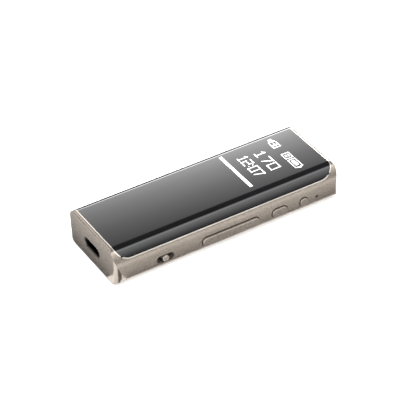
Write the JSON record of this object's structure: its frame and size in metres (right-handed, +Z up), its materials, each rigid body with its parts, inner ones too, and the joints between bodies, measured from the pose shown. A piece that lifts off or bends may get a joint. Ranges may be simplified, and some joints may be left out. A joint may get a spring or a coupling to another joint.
{
  "type": "handheld voice recorder",
  "caption": "Pocket recorder with a curved glass front, a small square display, side keys, a three-position slider and a socket at each end",
  "frame": {"origin": "middle of the flat underside", "axes": "+X towards the end with the headphone socket, -Y towards the side with the keys, +Z up through the display"},
  "size_m": [0.076, 0.0297, 0.0125],
  "materials": {
    "frame_metal": "fine bead-blasted, anodised warm beige",
    "key_metal": "fine satin, anodised warm beige",
    "cover_metal": "fine bead-blasted, anodised warm beige",
    "cover_glass": "polished, curved over both long sides",
    "mask_ink": "printed black border",
    "bond": "black adhesive",
    "screw_steel": "plated",
    "can_steel": "stamped, plated",
    "board": "solder mask",
    "chip": "moulded",
    "contact_gold": "gold plated",
    "black_plastic": "moulded",
    "white_plastic": "moulded",
    "flex_film": "polyimide film",
    "cell_wrap": "laminated foil",
    "foam": "closed-cell foam",
    "oled": "polished panel",
    "clear_bond": "optical adhesive",
    "ceramic_part": "fired ceramic with plated ends",
    "ferrite": "pressed ferrite",
    "ring_metal": "polished plated ring",
    "lead_red": "wire insulation",
    "lead_black": "wire insulation",
    "rim_metal": "diamond-cut, polished"
  },
  "bodies": {
    "case": {"main_frame": "frame_metal", "front_glass": "cover_glass", "trim_ring": "rim_metal", "glass_bond": "bond", "glass_mask": "mask_ink", "rear_cover": "cover_metal", "cover_screws": "screw_steel", "board_screws": "screw_steel", "main_board": "board", "usb_c_shell": "can_steel", "usb_c_contacts": "contact_gold", "usb_c_tongue": "black_plastic", "rocker_pin": "screw_steel", "rocker_bracket": "can_steel", "vol_up_switch": "can_steel", "vol_down_switch": "can_steel", "play_switch": "can_steel", "power_switch": "can_steel", "slide_switch": "can_steel", "mic_gasket": "foam", "mic_capsule": "can_steel", "mic_flex": "flex_film", "headphone_jack": "black_plastic", "jack_ring": "ring_metal", "jack_contacts": "contact_gold", "battery_cell": "cell_wrap", "battery_pad": "foam", "shield_can": "can_steel", "cell_board": "board", "processor": "chip", "memory_chip": "chip", "audio_codec": "chip", "charge_chip": "chip", "clock_crystal": "can_steel", "battery_connector": "white_plastic", "display_connector": "black_plastic", "capacitors": "ceramic_part", "inductors": "ferrite", "oled_panel": "oled", "display_bond": "clear_bond", "display_flex": "flex_film", "lead_positive": "lead_red", "lead_negative": "lead_black"},
    "play_key": {"play_button": "key_metal"},
    "play_nub": {"play_plunger": "white_plastic"},
    "power_key": {"power_button": "key_metal"},
    "power_nub": {"power_plunger": "white_plastic"},
    "rocker": {"volume_rocker": "key_metal"},
    "up_nub": {"vol_up_plunger": "white_plastic"},
    "down_nub": {"vol_down_plunger": "white_plastic"},
    "slider": {"slider_knob": "key_metal", "slider_plate": "black_plastic", "slider_fork": "black_plastic"}
  },
  "joints": [
    {"name": "play_press", "type": "slide", "parent": "case", "child": "play_key", "axis": [0, 1, 0], "range_m": [0, 0.00025], "stiffness_N_per_m": 1000, "springref_m": -0.0005},
    {"name": "power_press", "type": "slide", "parent": "case", "child": "power_key", "axis": [0, 1, 0], "range_m": [0, 0.00025], "stiffness_N_per_m": 1000, "springref_m": -0.0005},
    {"name": "volume_tilt", "type": "hinge", "parent": "case", "child": "rocker", "pos_m": [0, -0.01145, 0.0048], "axis": [0, 0, 1], "range_deg": [-1.2, 1.2], "stiffness_Nm_per_rad": 0.2},
    {"name": "slider_move", "type": "slide", "parent": "case", "child": "slider", "axis": [1, 0, 0], "range_m": [-0.0016, 0.0016]},
    {"name": "play_nub_move", "type": "slide", "parent": "case", "child": "play_nub", "axis": [0, 1, 0], "range_m": [0, 0.00025]},
    {"name": "power_nub_move", "type": "slide", "parent": "case", "child": "power_nub", "axis": [0, 1, 0], "range_m": [0, 0.00025]},
    {"name": "up_nub_move", "type": "slide", "parent": "case", "child": "up_nub", "axis": [0, 1, 0], "range_m": [-0.00014, 0.00014]},
    {"name": "down_nub_move", "type": "slide", "parent": "case", "child": "down_nub", "axis": [0, 1, 0], "range_m": [-0.00014, 0.00014]}
  ],
  "couplings": [
    {"joint": "play_nub_move", "follows": "play_press", "ratio": 1},
    {"joint": "power_nub_move", "follows": "power_press", "ratio": 1},
    {"joint": "up_nub_move", "follows": "volume_tilt", "m_per_rad": 0.0065},
    {"joint": "down_nub_move", "follows": "volume_tilt", "m_per_rad": -0.0065}
  ]
}
